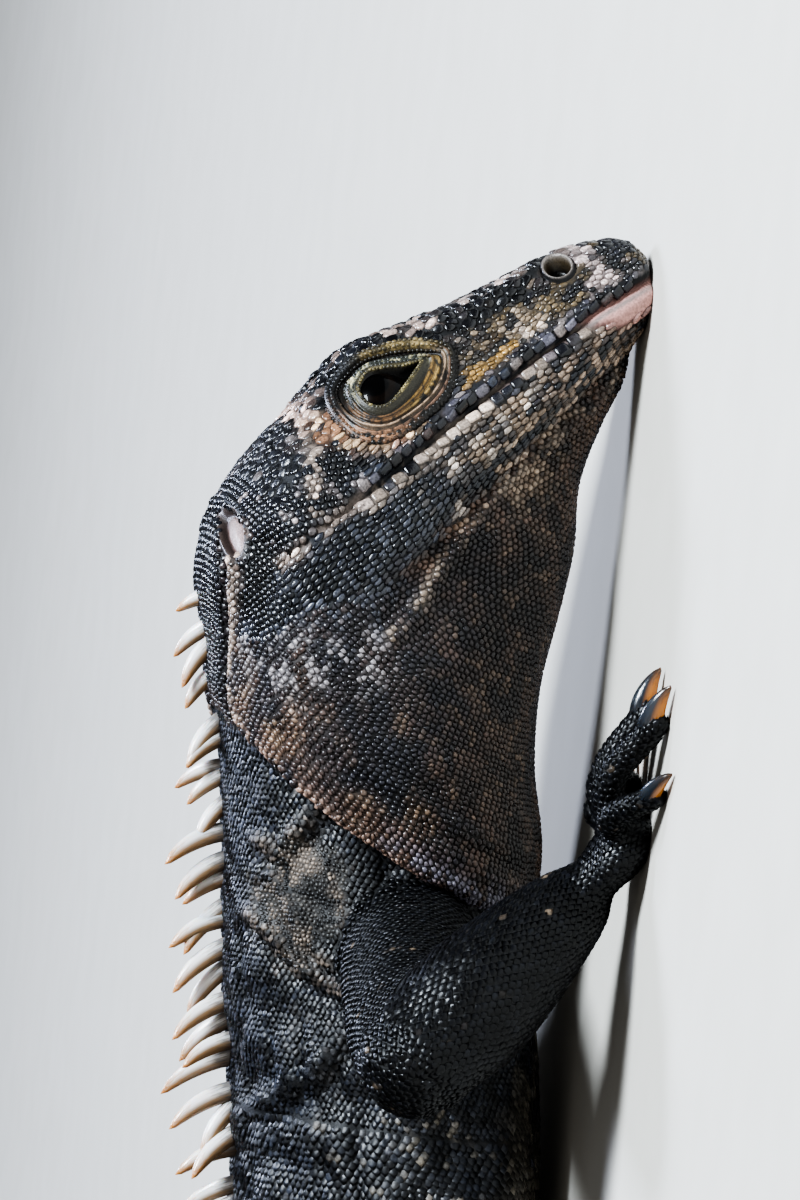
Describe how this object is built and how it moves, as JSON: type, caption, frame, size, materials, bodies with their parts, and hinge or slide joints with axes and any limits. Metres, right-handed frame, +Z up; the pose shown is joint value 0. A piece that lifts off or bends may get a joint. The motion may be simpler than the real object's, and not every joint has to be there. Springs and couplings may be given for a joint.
{
  "type": "black spiny-tailed iguana",
  "caption": "Life-size still model of an adult male black spiny-tailed iguana, resting on belly, feet and tail with the neck arched and the nose lowered.",
  "frame": {"origin": "on the floor, on the flat underside of the resting belly, midway between the sides", "axes": "+X forward towards the head, +Y to the animal's left, +Z up; the floor is at Z = 0"},
  "size_m": [0.8692, 0.2563, 0.0662],
  "materials": {
    "head_hide": "satin scales, black with cream and ochre marks",
    "throat_hide": "satin granular scales, grey brown with dark flecks",
    "body_hide": "satin scales, slate black with grey-tan mottling",
    "limb_hide": "glossy keeled scales, near black",
    "tail_hide": "satin spiny scales in rings, black and grey bands",
    "eye": "wet gloss, dark brown iris",
    "eardrum": "thin pale membrane",
    "horn_dark": "smooth horn of the claws, dark above and orange below",
    "horn_pale": "dull horn of the crest spines, cream with brown tips"
  },
  "bodies": {
    "root": {"head": "head_hide", "jaw": "head_hide", "eye_right": "eye", "eye_left": "eye", "ear_right": "eardrum", "ear_left": "eardrum", "throat": "throat_hide", "neck": "throat_hide", "chest": "body_hide", "belly": "body_hide", "hips": "body_hide", "upper_arm_right": "limb_hide", "forearm_right": "limb_hide", "hand_right": "limb_hide", "upper_arm_left": "limb_hide", "forearm_left": "limb_hide", "hand_left": "limb_hide", "thigh_right": "limb_hide", "shin_right": "limb_hide", "foot_right": "limb_hide", "thigh_left": "limb_hide", "shin_left": "limb_hide", "foot_left": "limb_hide", "tail_1": "tail_hide", "tail_2": "tail_hide", "tail_3": "tail_hide", "tail_4": "tail_hide", "tail_5": "tail_hide"}
  },
  "joints": []
}
